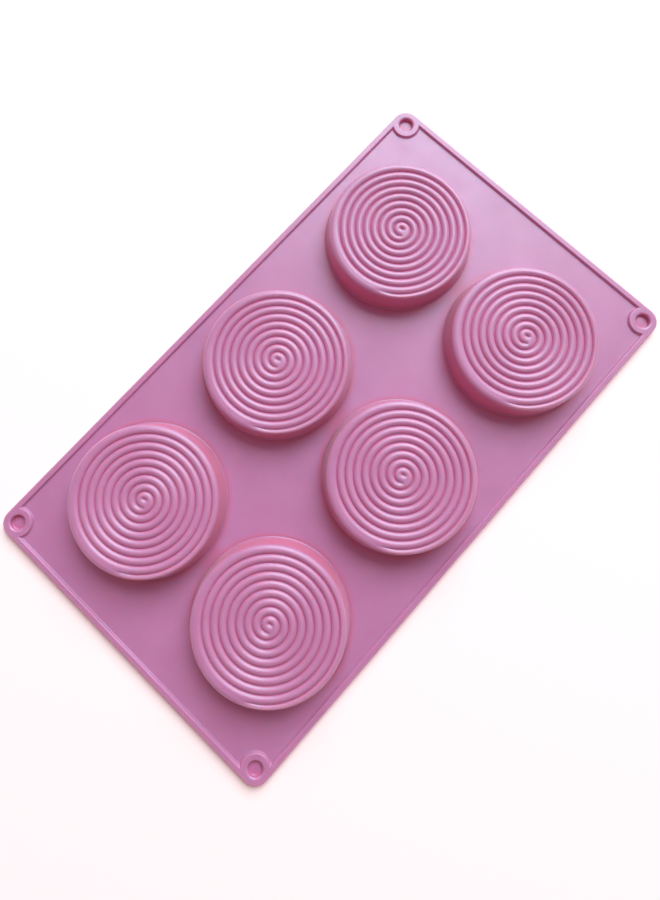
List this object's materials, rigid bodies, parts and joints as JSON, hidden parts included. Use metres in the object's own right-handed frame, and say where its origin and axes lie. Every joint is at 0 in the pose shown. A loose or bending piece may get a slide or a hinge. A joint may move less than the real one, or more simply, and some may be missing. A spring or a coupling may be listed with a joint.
{
  "type": "silicone soap mould",
  "caption": "Flanged silicone soap mould lying mouth down: shallow round cavities whose floors carry a spiral rib, a raised rim bead and corner bosses with blind pockets.",
  "frame": {"origin": "centre of the mouth face, which lies on z = 0, the plane the mould rests on", "axes": "+X along the long side, +Y along the short side, +Z out of the cavity floors' outside, so the mouths face -Z"},
  "size_m": [0.295, 0.172, 0.016],
  "materials": {
    "silicone": "satin platinum-cure silicone, slightly translucent, opaque pink"
  },
  "bodies": {
    "tray": {"web": "silicone", "rim_bead_front": "silicone", "rim_bead_back": "silicone", "rim_bead_left": "silicone", "rim_bead_right": "silicone", "corner_boss_front_left": "silicone", "corner_boss_front_right": "silicone", "corner_boss_back_left": "silicone", "corner_boss_back_right": "silicone", "cavity_wall_1": "silicone", "cavity_wall_2": "silicone", "cavity_wall_3": "silicone", "cavity_wall_4": "silicone", "cavity_wall_5": "silicone", "cavity_wall_6": "silicone"},
    "floor_1": {"cavity_floor_1": "silicone"},
    "floor_2": {"cavity_floor_2": "silicone"},
    "floor_3": {"cavity_floor_3": "silicone"},
    "floor_4": {"cavity_floor_4": "silicone"},
    "floor_5": {"cavity_floor_5": "silicone"},
    "floor_6": {"cavity_floor_6": "silicone"}
  },
  "joints": [
    {"name": "push_out_1", "type": "slide", "parent": "tray", "child": "floor_1", "axis": [0, 0, 1], "range_m": [-0.006, 0], "stiffness_N_per_m": 1500},
    {"name": "push_out_2", "type": "slide", "parent": "tray", "child": "floor_2", "axis": [0, 0, 1], "range_m": [-0.006, 0], "stiffness_N_per_m": 1500},
    {"name": "push_out_3", "type": "slide", "parent": "tray", "child": "floor_3", "axis": [0, 0, 1], "range_m": [-0.006, 0], "stiffness_N_per_m": 1500},
    {"name": "push_out_4", "type": "slide", "parent": "tray", "child": "floor_4", "axis": [0, 0, 1], "range_m": [-0.006, 0], "stiffness_N_per_m": 1500},
    {"name": "push_out_5", "type": "slide", "parent": "tray", "child": "floor_5", "axis": [0, 0, 1], "range_m": [-0.006, 0], "stiffness_N_per_m": 1500},
    {"name": "push_out_6", "type": "slide", "parent": "tray", "child": "floor_6", "axis": [0, 0, 1], "range_m": [-0.006, 0], "stiffness_N_per_m": 1500}
  ]
}
